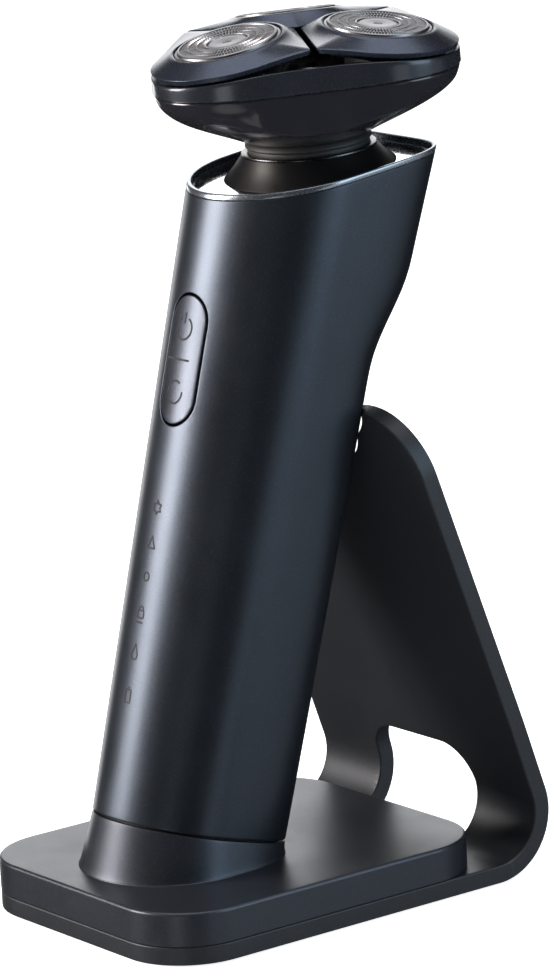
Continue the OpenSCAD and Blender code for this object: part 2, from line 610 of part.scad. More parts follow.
module outer_cutter(a) color([0.75, 0.75, 0.78]) on_pod(a) difference() {
  union() {
    translate([0, 0, -4]) cylinder(r = cutter_r, h = 3.7);
    translate([0, 0, -0.4]) cylinder(r = 10.2, h = 0.6);
  }
  translate([0, 0, -5]) cylinder(r = 10.0, h = 4.6);
  translate([0, 0, -0.15]) cylinder(r = 4.2, h = 1);
  for (i = [0 : 35]) rotate([0, 0, i*10]) translate([5.4, -0.16, -2]) cube([3.9, 0.32, 4]);
}
module outer_cutter_front() { outer_cutter(lobes[0]); }
module outer_cutter_right() { outer_cutter(lobes[1]); }
module outer_cutter_left() { outer_cutter(lobes[2]); }

module inner_cutter(a) color([0.7, 0.71, 0.74]) on_pod(a) difference() {
  union() {
    translate([0, 0, -2.6]) cylinder(r = 9.2, h = 0.9);
    for (i = [0 : 8]) rotate([0, 0, i*40]) translate([5.6, -0.35, -1.8]) cube([3.3, 0.7, 1.2]);
    translate([0, 0, -7.2]) cylinder(r = 3.2, h = 5);
  }
  translate([0, 0, -8]) cylinder(r = 2.0, h = 5);
}
module inner_cutter_front() { inner_cutter(lobes[0]); }
module inner_cutter_right() { inner_cutter(lobes[1]); }
module inner_cutter_left() { inner_cutter(lobes[2]); }

module cutter_retainers(a) color([0.1, 0.1, 0.11]) on_pod(a)
  translate([0, 0, -5.0]) tube(10.9, 9.4, 0.95);
module cutter_retainers_front() { cutter_retainers(lobes[0]); }
module cutter_retainers_right() { cutter_retainers(lobes[1]); }
module cutter_retainers_left() { cutter_retainers(lobes[2]); }

stand_plate();
base_housing();
cradle_cup();
charge_pins();
base_circuit_board();
base_wiring();
charge_inlet();
inlet_board();
base_screws();
foot_pad();
handle_shell();
rim_trim();
neck_deck();
neck_housing();
neck_ring();
neck_boot();
bottom_cap();
bottom_seal();
charge_contacts();
handle_screws();
inner_frame();
battery_cell();
battery_tabs();
motor_can();
motor_clamp();
main_circuit_board();
tact_switches();
indicator_windows();
button_bracket();
spindle_bearing();
mode_button();
motor_shaft();
drive_spindle();
gimbal_ring();
head_coupling();
head_bowl();
head_band();
gear_plate();
cutter_frame();
coupling_clip();
pod_springs();
gear_plate_screws();
sun_gear();
planet_gear_front();
planet_gear_right();
planet_gear_left();
pod_shell_front();
pod_shell_right();
pod_shell_left();
outer_cutter_front();
outer_cutter_right();
outer_cutter_left();
inner_cutter_front();
inner_cutter_right();
inner_cutter_left();
cutter_retainers_front();
cutter_retainers_right();
cutter_retainers_left();
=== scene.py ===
import math
from functools import reduce
import bpy
import bmesh
import numpy as np
from mathutils import Matrix, Vector
from mathutils.geometry import delaunay_2d_cdt


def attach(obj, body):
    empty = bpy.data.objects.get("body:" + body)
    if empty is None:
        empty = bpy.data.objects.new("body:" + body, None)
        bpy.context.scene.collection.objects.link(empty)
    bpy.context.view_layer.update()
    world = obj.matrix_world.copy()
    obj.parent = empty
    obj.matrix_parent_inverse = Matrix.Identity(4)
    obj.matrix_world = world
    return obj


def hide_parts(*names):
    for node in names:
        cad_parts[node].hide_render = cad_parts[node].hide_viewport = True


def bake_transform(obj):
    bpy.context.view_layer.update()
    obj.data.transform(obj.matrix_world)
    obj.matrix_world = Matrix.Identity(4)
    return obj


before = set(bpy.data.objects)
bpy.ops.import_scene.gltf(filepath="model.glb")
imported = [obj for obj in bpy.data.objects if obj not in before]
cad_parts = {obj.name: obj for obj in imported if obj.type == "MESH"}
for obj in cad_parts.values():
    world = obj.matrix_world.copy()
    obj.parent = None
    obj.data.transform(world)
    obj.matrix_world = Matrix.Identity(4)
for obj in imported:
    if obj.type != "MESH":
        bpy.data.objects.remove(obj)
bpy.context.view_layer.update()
scene = bpy.context.scene
scene.view_settings.view_transform = "Standard"
scene.view_settings.look = "None"
rad = math.radians
MM = 0.001


# ---------- frames, in millimetres ----------

def rx(a):
    c, s = math.cos(rad(a)), math.sin(rad(a))
    return np.array([[1, 0, 0], [0, c, -s], [0, s, c]])


def ry(a):
    c, s = math.cos(rad(a)), math.sin(rad(a))
    return np.array([[c, 0, s], [0, 1, 0], [-s, 0, c]])


def rz(a):
    c, s = math.cos(rad(a)), math.sin(rad(a))
    return np.array([[c, -s, 0], [s, c, 0], [0, 0, 1]])


LEAN = 15.5                            # of the handle's axis from upright
HEAD_TIP, POD_TIP = 3.5, 9.2           # of the head, and of each pod outward on the head
FOOT = np.array([0, -13.3, 17.9])      # where the handle's axis starts
HEAD = np.array([0, 27.06, 176.1])     # the middle of the cutters' plane
LOBE_OUT = 17.6                        # from there to the middle of a pod
R_HANDLE, R_HEAD = rx(-LEAN), rx(HEAD_TIP)


def on_handle(p):
    return FOOT + np.asarray(p, float) @ R_HANDLE.T


def on_head(p):
    return HEAD + np.asarray(p, float) @ R_HEAD.T


def on_lobe(p, a):
    return on_head((np.asarray(p, float) + [LOBE_OUT, 0, 0]) @ rz(a).T)


def on_pod(p, a):
    return on_lobe(np.asarray(p, float) @ ry(POD_TIP).T, a)


# the handle's section, at its foot and at its top
LENGTH = 146.0
HALF_WIDTH = 17.6, 21.5
FRONT_DEPTH, BACK_DEPTH = (17.8, 19.2), (20.5, 16.4)
FRONT_POWER, BACK_POWER = (2.0, 1.9), (3.2, 6)


# ---------- materials ----------

CLOUD = 14.0      # size of the soft patches in a surface, in mm
TONE = 0.03       # how far a patch is lighter or darker
WEAR = 0.25       # how far an edge takes its worn colour


def paint(name, base, metallic=0.0, rough=0.4, spec=0.5, coat=0.0, coat_rough=0.1, grain=0.25, flake=0.12,
          bump=0.012, wear_colour=None, rough_var=0.06):
    """A surface with soft patches, fine sparks, worn edges and a fine bump. grain and bump are in mm."""
    material = bpy.data.materials.new(name)
    material.use_nodes = True
    n, link = material.node_tree.nodes, material.node_tree.links
    surface = n["Principled BSDF"].inputs
    surface["Metallic"].default_value = metallic
    surface["Specular IOR Level"].default_value = spec
    surface["Coat Weight"].default_value = coat
    surface["Coat Roughness"].default_value = coat_rough
    place = n.new("ShaderNodeTexCoord")
    in_mm = n.new("ShaderNodeMapping")
    in_mm.inputs["Scale"].default_value = [1000] * 3
    link.new(place.outputs["Object"], in_mm.inputs["Vector"])

    def noise(size, detail):
        t = n.new("ShaderNodeTexNoise")
        t.inputs["Scale"].default_value = 1 / size
        t.inputs["Detail"].default_value = detail
        t.inputs["Roughness"].default_value = 0.55
        link.new(in_mm.outputs["Vector"], t.inputs["Vector"])
        return t.outputs["Fac"]

    def ranged(value, *limits):
        t = n.new("ShaderNodeMapRange")
        for key, limit in zip(("From Min", "From Max", "To Min", "To Max"), limits):
            t.inputs[key].default_value = limit
        link.new(value, t.inputs["Value"])
        return t.outputs["Result"]

    def blended(share, one, two):
        t = n.new("ShaderNodeMix")
        t.data_type = "RGBA"
        link.new(share, t.inputs["Factor"])
        for socket, value in ((t.inputs[6], one), (t.inputs[7], two)):
            if isinstance(value, (tuple, list)):
                socket.default_value = (*value, 1)
            else:
                link.new(value, socket)
        return t.outputs[2]

    fine = noise(grain, 2)
    large = noise(CLOUD, 3)
    dark = tuple(c * (1 - TONE) for c in base)
    light = tuple(min(1, c * (1 + TONE)) for c in base)
    colour = blended(ranged(large, 0.35, 0.65, 0, 1), dark, light)
    spark = tuple(min(1, c * (1 + 4 * flake) + 0.05 * flake) for c in base)
    colour = blended(ranged(fine, 0.52, 0.72, 0, 0.8), colour, spark)
    geometry = n.new("ShaderNodeNewGeometry")
    worn = wear_colour or tuple(min(1, c * 1.8 + 0.03) for c in base)
    colour = blended(ranged(geometry.outputs["Pointiness"], 0.52, 0.62, 0, WEAR), colour, worn)
    link.new(colour, surface["Base Color"])
    total = n.new("ShaderNodeMath")
    total.use_clamp = True
    link.new(ranged(large, 0.3, 0.7, rough - rough_var * 0.4, rough + rough_var * 0.4), total.inputs[0])
    link.new(ranged(fine, 0.3, 0.7, -0.04, 0.04), total.inputs[1])
    link.new(total.outputs[0], surface["Roughness"])
    relief = n.new("ShaderNodeBump")
    relief.inputs["Strength"].default_value = 0.6
    relief.inputs["Distance"].default_value = bump * MM
    link.new(fine, relief.inputs["Height"])
    link.new(relief.outputs["Normal"], surface["Normal"])
    return material


M = {
    "sheet": paint("sheet_metal", (0.026, 0.029, 0.036), metallic=0.45, rough=0.42, grain=0.3, bump=0.01),
    "base": paint("base_metal", (0.045, 0.05, 0.064), metallic=0.7, rough=0.36, grain=0.28, bump=0.01),
    "handle": paint("handle_metal", (0.054, 0.064, 0.082), metallic=0.88, rough=0.34, grain=0.26, flake=0.1),
    "button": paint("button_metal", (0.058, 0.067, 0.085), metallic=0.88, rough=0.34, grain=0.26, flake=0.1,
                    bump=0.01),
    "rim": paint("rim_metal", (0.3, 0.33, 0.38), metallic=0.9, rough=0.24, grain=0.4, flake=0.03, bump=0.003),
    "mirror": paint("deck_mirror", (0.88, 0.88, 0.9), metallic=1.0, rough=0.1, grain=0.8, flake=0.02,
                    bump=0.001, rough_var=0.03),
    "neck": paint("neck_black", (0.005, 0.005, 0.006), rough=0.38, spec=0.3, grain=0.5, flake=0.02,
                  bump=0.003),
    "chrome": paint("chrome", (0.09, 0.09, 0.1), metallic=1.0, rough=0.28, grain=0.4, flake=0.03, bump=0.002),
    "boot": paint("boot_rubber", (0.018, 0.018, 0.019), rough=0.55, grain=0.2, bump=0.02),
    "gloss": paint("head_gloss", (0.013, 0.013, 0.018), metallic=0.1, rough=0.16, coat=0.6, coat_rough=0.06,
                   grain=0.35, flake=0.06, bump=0.002, rough_var=0.03),
    "band": paint("band_gloss", (0.03, 0.034, 0.045), metallic=0.55, rough=0.24, coat=0.3, grain=0.3,
                  flake=0.05, bump=0.003, rough_var=0.03),
    "pod": paint("pod_metal", (0.045, 0.054, 0.08), metallic=0.78, rough=0.28, grain=0.24, flake=0.14,
                 bump=0.008),
    "steel": paint("cutter_steel", (0.24, 0.236, 0.252), metallic=1.0, rough=0.36, grain=0.18, flake=0.05,
                   bump=0.006, wear_colour=(0.9, 0.9, 0.92)),
    "dark_steel": paint("cutter_slot", (0.06, 0.06, 0.065), metallic=0.8, rough=0.45, grain=0.18, bump=0.006),
    "icon": paint("icon_ink", (0.03, 0.031, 0.036), rough=0.7, spec=0.08, grain=0.2, bump=0.004),
    "plastic": paint("inner_plastic", (0.02, 0.02, 0.022), rough=0.5, grain=0.3, bump=0.015),
    "feet": paint("foot_rubber", (0.012, 0.012, 0.012), rough=0.75, grain=0.2, bump=0.03),
    "screw": paint("plain_steel", (0.45, 0.45, 0.47), metallic=1.0, rough=0.3, grain=0.2, bump=0.004),
    "gold": paint("contact_gold", (0.75, 0.55, 0.25), metallic=1.0, rough=0.25, grain=0.2, bump=0.003),
    "board": paint("board_green", (0.015, 0.1, 0.04), rough=0.35, grain=0.5, bump=0.008),
    "wire": paint("wire_skin", (0.4, 0.03, 0.03), rough=0.5, grain=0.3, bump=0.008),
    "cell": paint("cell_wrap", (0.03, 0.1, 0.3), rough=0.3, grain=0.6, bump=0.004),
    "gear": paint("gear_acetal", (0.7, 0.7, 0.64), rough=0.45, grain=0.3, bump=0.006),
}
BY_SLOT = {"sheet_metal": "sheet", "base_metal": "base", "contact": "gold", "board": "board",
           "wire": "wire", "steel": "screw", "feet": "feet", "handle_metal": "handle",
           "rim_metal": "rim", "deck_mirror": "mirror", "neck_black": "neck", "chrome": "chrome",
           "boot_rubber": "boot", "inner_plastic": "plastic", "cell_wrap": "cell",
           "button_metal": "button", "icon": "icon", "gear": "gear", "head_gloss": "gloss",
           "pod_metal": "pod", "cutter_steel": "steel"}
SLOT_OF = {v: k for k, v in BY_SLOT.items()}
SLOT_OF["dark_steel"] = "cutter_steel"
SLOT_OF["band"] = "head_gloss"
for name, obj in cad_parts.items():
    for ms in obj.material_slots:
        key = ms.material.name.split(".")[0] if ms.material else ""
        ms.material = M[BY_SLOT.get(key, "plastic")]


# ---------- mesh helpers ----------

def make(name, verts, faces, mat, body, nodes=(), sharp=32, weighted=True):
    """A piece from vertices in mm, with its material, the body it rides on and the nodes it stands in for."""
    me = bpy.data.meshes.new(name)
    me.from_pydata((np.asarray(verts, float) * MM).tolist(), [], [list(map(int, f)) for f in faces])
    bm = bmesh.new()
    bm.from_mesh(me)
    bmesh.ops.remove_doubles(bm, verts=bm.verts, dist=2e-6)
    bmesh.ops.recalc_face_normals(bm, faces=bm.faces)
    bm.to_mesh(me)
    bm.free()
    me.polygons.foreach_set("use_smooth", [True] * len(me.polygons))
    me.set_sharp_from_angle(angle=rad(sharp))
    me.materials.append(M[mat])
    me.update()
    o = bpy.data.objects.new(name, me)
    scene.collection.objects.link(o)
    if weighted:
        w = o.modifiers.new("weighted", "WEIGHTED_NORMAL")
        w.keep_sharp = True
        w.weight = 100
    if body:
        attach(o, body)
    if nodes:
        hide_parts(*nodes)
    return o


def mix(a, b, t):
    return a + (b - a) * t


def ease(x):
    """A soft step from 0 to 1 as x goes from 0 to 1."""
    x = np.clip(x, 0, 1)
    return x * x * (3 - 2 * x)


def polar(r, t, z):
    """Points at radius r and height z, round the angles t."""
    r, t, z = np.broadcast_arrays(r, t, z)
    return np.column_stack([r * np.cos(t), r * np.sin(t), z])


def turn(m):
    """Angles of m points round a circle."""
    return np.linspace(0, 2 * math.pi, m, endpoint=False)


def ring_faces(k, m):
    """Quads between k rings of m points."""
    out = []
    for j in range(k - 1):
        for i in range(m):
            a, b = j * m + i, j * m + (i + 1) % m
            out.append((a, b, b + m, a + m))
    return out


def loft(rings, cap0=True, cap1=True, loop=False):
    """Vertices and faces of a body through closed rings of equally many points."""
    k, m = len(rings), len(rings[0])
    v = np.concatenate(rings)
    f = ring_faces(k, m)
    if loop:
        f += [((k - 1) * m + i, (k - 1) * m + (i + 1) % m, (i + 1) % m, i) for i in range(m)]
    else:
        if cap0:
            f.append(tuple(range(m))[::-1])
        if cap1:
            f.append(tuple(range((k - 1) * m, k * m)))
    return v, f


def lathe(profile, m):
    """Rings of m points for a profile of (radius, height) points."""
    return [polar(r, turn(m), z) for r, z in profile]


def join(*parts):
    """One body out of several, each given as vertices and faces."""
    v, f, n = [], [], 0
    for pv, pf in parts:
        v.append(np.asarray(pv, float))
        f += [tuple(i + n for i in q) for q in pf]
        n += len(pv)
    return np.concatenate(v), f


def inside(points, loop):
    """Which of the plan points lie inside the loop."""
    x, y = points[:, 0][:, None], points[:, 1][:, None]
    a, b = loop, np.roll(loop, -1, 0)
    hit = (a[:, 1] > y) != (b[:, 1] > y)
    d = np.where(np.abs(b[:, 1] - a[:, 1]) < 1e-12, 1e-12, b[:, 1] - a[:, 1])
    xi = a[:, 0] + (y - a[:, 1]) * (b[:, 0] - a[:, 0]) / d
    return (np.sum(hit & (x < xi), axis=1) % 2) == 1


def runs(path):
    """How far along the path each of its plan points lies."""
    return np.r_[0, np.cumsum(np.hypot(*np.diff(path, axis=0).T))]


def spread_out(path, n, closed=True):
    """n points evenly spaced along the path."""
    run = runs(path)
    s = np.linspace(0, run[-1], n, endpoint=not closed)
    return np.column_stack([np.interp(s, run, path[:, k]) for k in (0, 1)])


def softened(loop, step, width):
    """A loop of evenly spaced points, blurred over that width."""
    q = np.fft.fftfreq(len(loop), step)
    g = np.exp(-2 * (math.pi * width * q) ** 2)[:, None]
    return np.real(np.fft.ifft(np.fft.fft(loop, axis=0) * g, axis=0))


def resample(loop, step, smooth=0.0):
    """The loop with evenly spaced points, blurred over the width smooth."""
    closed = np.vstack([loop, loop[:1]])
    length = runs(closed)[-1]
    n = int(round(length / step))
    p = spread_out(closed, n)
    return softened(p, length / n, smooth) if smooth else p


def area(loop):
    a, b = loop, np.roll(loop, -1, 0)
    return 0.5 * np.sum(a[:, 0] * b[:, 1] - b[:, 0] * a[:, 1])


def grown(loop, d):
    """The loop moved outward by d, or inward if d is negative. The loop runs anticlockwise."""
    t = np.roll(loop, -1, 0) - np.roll(loop, 1, 0)
    t /= np.maximum(np.hypot(*t.T), 1e-9)[:, None]
    return loop + d * np.column_stack([t[:, 1], -t[:, 0]])


def fill(outer, holes, grid):
    """Triangles between loops, over the loops' own points and the grid points clear of them."""
    loops = [outer] + holes
    keep = grid[inside(grid, grown(outer, -0.35))] if len(grid) else grid
    for h in holes:
        if len(keep):
            keep = keep[~inside(keep, grown(h, 0.35))]
    pts, edges, n = [], [], 0
    for loop in loops:
        edges += [(n + i, n + (i + 1) % len(loop)) for i in range(len(loop))]
        pts.append(loop)
        n += len(loop)
    pts = np.vstack(pts + ([keep] if len(keep) else []))
    v, _, f, *_ = delaunay_2d_cdt([Vector(p) for p in pts], edges, [], 0, 1e-7)
    v = np.array(v)
    f = np.array(f)
    c = v[f].mean(1)
    ok = inside(c, outer)
    for h in holes:
        ok &= ~inside(c, h)
    # slivers are left out
    e = v[np.roll(f, -1, 1)] - v[f]
    twice_area = np.abs(e[:, 0, 0] * e[:, 1, 1] - e[:, 0, 1] * e[:, 1, 0])
    longest = np.hypot(e[..., 0], e[..., 1]).max(1)
    ok &= twice_area / np.maximum(longest, 1e-9) > 0.01
    return v, [tuple(t) for t in f[ok]]


def slab(place, outer, holes, depth, edge, grid, back=True):
    """A sheet with rounded edges. place(points, depth) puts plan points into space."""
    outer = outer if area(outer) > 0 else outer[::-1]
    holes = [h if area(h) > 0 else h[::-1] for h in holes]
    quarter = np.linspace(0, math.pi / 2, 5)
    prof = [(edge * (1 - math.sin(a)), edge * (1 - math.cos(a))) for a in quarter]
    prof = prof + ([(o, depth - d) for o, d in prof[::-1]] if back else [(0, depth)])
    parts = []
    ends = (0, -1) if back else (0,)
    for e in ends:
        o, d = prof[e]
        v, f = fill(grown(outer, -o), [grown(h, o) for h in holes], grid)
        parts.append((place(v, np.full(len(v), d)), f))
    for loop, side in [(outer, -1)] + [(h, 1) for h in holes]:
        rings = [place(grown(loop, side * o), np.full(len(loop), d)) for o, d in prof]
        parts.append(loft(rings, False, False))
    return join(*parts)


def arc(cx, cy, r, a0, a1, n=16):
    t = np.radians(np.linspace(a0, a1, n))
    return np.column_stack([cx + r * np.cos(t), cy + r * np.sin(t)])


def mesh_grid(x0, x1, y0, y1, dx, dy):
    """Plan points on a grid over that range."""
    x = np.arange(x0, x1 + 1e-6, dx)
    y = np.arange(y0, y1 + 1e-6, dy)
    return np.array(np.meshgrid(x, y)).reshape(2, -1).T


# ---------- stand: one bent sheet ----------

BLOCK_W, BLOCK_L, BLOCK_TOP = 70, 82, 11.1
CORNER = 15                          # radius of the block's and the sheet's corners
FRONT = -41                          # y of the block's and the sheet's front edge
BEND, R_BEND = rad(108.3), 13.5      # the bend's turn and its outer radius
BEND_Y, BEND_Z = 41.9, 13.8          # the bend's axis
V_FLAT = BEND_Y - FRONT              # along the sheet from its front edge: where the bend starts,
V_PLATE = V_FLAT + R_BEND * BEND     # where it ends,
V_END = V_PLATE + 87                 # and the back plate's top edge


def handle_half(h, d):
    """Half-width of the handle's back where it crosses the plate, h up the plate and d in from its back."""
    y = BEND_Y + h * math.cos(BEND) + (R_BEND - d) * math.sin(BEND) - FOOT[1]
    z = BEND_Z + h * math.sin(BEND) - (R_BEND - d) * math.cos(BEND) - FOOT[2]
    s = y * math.sin(rad(LEAN)) + z * math.cos(rad(LEAN))
    v = y * math.cos(rad(LEAN)) - z * math.sin(rad(LEAN))
    n, back = mix(*BACK_POWER, s / LENGTH), mix(*BACK_DEPTH, s / LENGTH)
    return mix(*HALF_WIDTH, s / LENGTH) * np.maximum(1 - np.clip(v / back, 0, 1) ** n, 0) ** (1 / n)


NOTCH_W, NOTCH_H = 15, 9.5           # half-width and depth of the oval notch in the top edge
NOTCH_V = V_END - 4.5                # its middle along the sheet
BEVEL_V = V_PLATE + 77               # from here up the notch's edge is bevelled


def sheet_place(p, d):
    """Points of the bent sheet, d in from its outer face. The notch is bevelled to clear the handle."""
    u, v = p[:, 0], p[:, 1]
    notch_half = NOTCH_W * np.sqrt(np.clip(1 - ((v - NOTCH_V) / NOTCH_H) ** 2, 0, 1))
    room = handle_half(np.clip(v, BEVEL_V, BEVEL_V + 11) - V_PLATE, d) + 0.5
    share = np.clip(1 - (np.abs(u) - notch_half) / 6.5, 0, 1) * (v > BEVEL_V)
    u = u + np.sign(u) * np.maximum(room - notch_half, 0) * share
    turned = np.clip((v - V_FLAT) / R_BEND, 0, BEND)
    r = R_BEND - d
    over = np.maximum(v - V_PLATE, 0)
    y = FRONT + np.minimum(v, V_FLAT) + r * np.sin(turned) + over * math.cos(BEND)
    z = BEND_Z - r * np.cos(turned) + over * math.sin(BEND)
    return np.column_stack([u, y, z])


def mirrored(side):
    """A loop from its right half."""
    return np.vstack([side, (side * [-1, 1])[::-1]])


TOP_CORNER = 14
t = np.radians(np.linspace(24, -90, 40))
notch = np.column_stack([NOTCH_W * np.cos(t), NOTCH_V + NOTCH_H * np.sin(t)])
outline = np.vstack([arc(BLOCK_W / 2 - CORNER, CORNER, CORNER, -90, 0), [(BLOCK_W / 2, V_PLATE + 16)],
                     arc(19, V_END - TOP_CORNER, TOP_CORNER, 2, 90, 20), [(15.2, V_END)], notch])
outline = resample(mirrored(outline), 0.6, 0.55)
window = np.vstack([arc(10, V_FLAT + 8.1, 6, -90, 0), arc(8, V_PLATE - 0.7, 8, 0, 90)])
window = resample(mirrored(window), 0.6)
grid = np.vstack([mesh_grid(-33.2, 33.2, v0, v1, 1.66, dv) for v0, v1, dv in
                  ((2, V_FLAT - 1.5, 2), (V_FLAT, V_PLATE + 1, 0.9), (V_PLATE + 3, V_END, 2))])
v, f = slab(sheet_place, outline, [window], depth=3.8, edge=0.4, grid=grid)
make("back_stand", v, f, "sheet", "stand", ["stand_plate"])


# ---------- stand: base block ----------

EDGE = 0.7       # radius of the block's top edge


def block_ring(inset, z):
    """The block's outline at height z, moved in by inset."""
    r = CORNER - inset
    x, y = BLOCK_W / 2 - CORNER, BLOCK_L / 2 - CORNER
    corners = ((x, -y, -90), (x, y, 0), (-x, y, 90), (-x, -y, 180))
    p = np.vstack([arc(cx, cy, r, a, a + 90, 14) for cx, cy, a in corners])
    return np.column_stack([p, np.full(len(p), z)])


profile = [(2.0, 4.12), (0.25, 4.12), (0.06, 4.2), (0, 4.4), (0, 7.5)]
profile += [(EDGE * (1 - math.cos(a)), BLOCK_TOP - EDGE + EDGE * math.sin(a))
            for a in np.linspace(0, math.pi / 2, 6)]
profile += [(2.0, BLOCK_TOP)]
v, f = loft([block_ring(inset, z) for inset, z in profile])
make("base_block", v, f, "base", "stand", ["base_housing"])


# ---------- handle surface ----------

N_SEC = 720                # points round a section
S_STEP = 0.5               # between sections along the handle
S_LEVELS = np.arange(-8, 152.01, S_STEP)
BUTTON_S = 93.6            # the button's middle along the handle


def section(s):
    """The handle's outline s along it, in evenly spaced points from the front, and the outline's length."""
    u = s / LENGTH
    held = min(max(u, 0), 1)
    back = mix(*BACK_DEPTH, u) + 6.6 * ease((s - 97) / 24) + 0.065 * max(0, s - 122)
    t = turn(7200) + 1.5 * math.pi
    c, q = np.cos(t), np.sin(t)
    n = np.where(q < 0, mix(*FRONT_POWER, held), mix(*BACK_POWER, held))
    depth = np.where(q < 0, mix(*FRONT_DEPTH, u), back)
    x = mix(*HALF_WIDTH, u) * np.sign(c) * np.abs(c) ** (2 / n)
    y = depth * np.sign(q) * np.abs(q) ** (2 / n)
    p = np.column_stack([x, y])
    closed = np.vstack([p, p[:1]])
    length = runs(closed)[-1]
    p = spread_out(closed, N_SEC)
    soft, crisp = (softened(p, length / N_SEC, width) for width in (1.5, 0.6))
    return mix(soft, crisp, ease((p[:, 1] - 4) / 6)[:, None]), length


sections = [section(s) for s in S_LEVELS]
TABLE = np.array([p for p, _ in sections])
GIRTH = float(np.interp(BUTTON_S, S_LEVELS, [length for _, length in sections]))    # at the button
# the sections are also softened along the handle
SPAN = 12
padded = np.concatenate([TABLE[:1]] * SPAN + [TABLE] + [TABLE[-1:]] * SPAN)
weights = np.exp(-0.5 * (np.arange(-SPAN, SPAN + 1) / 4.0) ** 2)
blurred = sum(w * padded[k:k + len(TABLE)] for k, w in enumerate(weights / weights.sum()))
TABLE[SPAN:-SPAN] = blurred[SPAN:-SPAN]
around = np.roll(TABLE, -1, 1) - np.roll(TABLE, 1, 1)
along = np.gradient(TABLE, S_STEP, axis=0)
NORM = np.dstack([around[..., 1], -around[..., 0],
                  around[..., 0] * along[..., 1] - around[..., 1] * along[..., 0]])
NORM /= np.linalg.norm(NORM, axis=2)[..., None]


def look_up(tab, q, s):
    """The table's value at q round the handle and s along it, between its points."""
    i = (np.asarray(q, float) % 1.0) * N_SEC
    j = np.clip((np.asarray(s, float) - S_LEVELS[0]) / S_STEP, 0, len(S_LEVELS) - 1.001)
    i0, j0 = np.floor(i).astype(int), np.floor(j).astype(int)
    fi, fj = (i - i0)[..., None], (j - j0)[..., None]
    i1 = (i0 + 1) % N_SEC
    i0 = i0 % N_SEC
    return ((tab[j0, i0] * (1 - fi) + tab[j0, i1] * fi) * (1 - fj)
            + (tab[j0 + 1, i0] * (1 - fi) + tab[j0 + 1, i1] * fi) * fj)


def skin(q, s, off=0.0):
    """Points of the handle's surface in its own frame: q round it from the front, s along it, off outward."""
    q, s = np.broadcast_arrays(np.asarray(q, float), np.asarray(s, float))
    p = look_up(TABLE, q, s)
    n = look_up(NORM, q, s)
    off = np.broadcast_to(np.asarray(off, float), q.shape)
    return np.column_stack([p[:, 0], p[:, 1], s]) + n * off[:, None]


def skin_place(p, d):
    """Plan points laid on the handle, d in from its surface."""
    return on_handle(skin(p[:, 0] / GIRTH, p[:, 1], -d))


SLANT = rad(22.5)     # of the rim plane, against the handle's axis
RIM_S = 135.0         # where the rim plane crosses that axis


def to_plane(q, d, inset):
    """The handle's section, inset, where it meets the plane d above the rim plane."""
    s = np.full(len(q), RIM_S)
    for _ in range(12):
        p = skin(q, s, -inset)
        s = RIM_S + d / math.cos(SLANT) + p[:, 1] * math.tan(SLANT) - (p[:, 2] - s)
    return skin(q, s, -inset)


# shell, open round the button, where a patch with the button's hole fills it
NQ = 240
Q = np.arange(NQ) / NQ
STRAIGHT = 112        # up to here the rows are level, and above it they turn towards the rim plane
rows = np.linspace(0.9, STRAIGHT, 76)
OPEN = 15             # columns left open on each side of the front
first = int(np.searchsorted(rows, 78.2)) - 1
last = int(np.searchsorted(rows, 109.0))
levels = [skin(Q, s, -d) for s, d in ((0.5, 1.7), (0.5, 0.3), (0.56, 0.12), (0.68, 0.03))]
start = len(levels)
levels += [skin(Q, s) for s in rows]
top = to_plane(Q, -1.28, 0)[:, 2]
levels += [skin(Q, mix(STRAIGHT, top, k)) for k in np.linspace(0, 1, 14)[1:]]
levels += [to_plane(Q, d, w) for d, w in ((-1.2, 0.03), (-1.15, 0.12), (-1.15, 1.6), (-4.0, 1.6))]
faces = [q for q in ring_faces(len(levels), NQ)
         if not (start + first <= q[0] // NQ < start + last and (q[0] % NQ < OPEN or q[0] % NQ >= NQ - OPEN))]
cols = np.arange(-OPEN, OPEN + 1) * (GIRTH / NQ)
span = rows[first:last + 1]
rect = np.array([(c, span[0]) for c in cols] + [(cols[-1], r) for r in span[1:-1]]
                + [(c, span[-1]) for c in cols[::-1]] + [(cols[0], r) for r in span[-2:0:-1]])


def pill(w, l):
    """A pill-shaped loop round the button's middle."""
    out = (l - w) / 2
    ends = [arc(0, BUTTON_S + side * out, w / 2, a, a + 180, 28) for side, a in ((1, 0), (-1, 180))]
    return resample(np.vstack(ends), 0.45)


hole = pill(11.9, 26.9)
between = np.array(np.meshgrid(cols[1:-1], span[1:-1])).reshape(2, -1).T
v, f = fill(rect, [grown(hole, 0.3)], between)
lip = [(0.3, 0), (0.16, 0.01), (0.06, 0.06), (0.0, 0.16), (0.0, 1.9)]
edge = loft([skin_place(grown(hole, o), np.full(len(hole), d)) for o, d in lip], False, False)
v, f = join((on_handle(np.concatenate(levels)), faces), (skin_place(v, np.zeros(len(v))), f), edge)
make("handle_body", v, f, "handle", "handle", ["handle_shell"])

# rim: a polished ring on the slanted opening
profile = [(0.3, -1.12), (0.1, -1.1), (0.06, -1.06), (0.02, -0.98), (0.0, -0.9), (0.0, -0.3), (0.03, -0.17),
           (0.1, -0.07), (0.2, -0.01), (0.3, 0.0), (0.66, -0.02), (0.76, -0.06), (0.84, -0.16), (0.88, -0.3),
           (1.3, -4.4), (1.62, -4.4), (1.62, -1.12)]
v, f = loft([on_handle(to_plane(Q, d, w)) for w, d in profile], False, False, loop=True)
make("rim_ring", v, f, "rim", "handle", ["rim_trim"], sharp=50)

# deck inside the rim
deck = to_plane(Q, -2.0, 1.05)
middle = deck.mean(0)
rings = [mix(middle, deck, k) for k in (1, 0.8, 0.6)]
v, f = loft([on_handle(r) for r in rings] + [on_handle(rings[-1] - [0, 0, 1.5])], False, True)
make("mirror_deck", v, f, "mirror", "handle", ["neck_deck"])

# neck
NT = 144
T = turn(NT)
NECK_DROP = 1.95      # the neck's foot lies this far under the rim plane


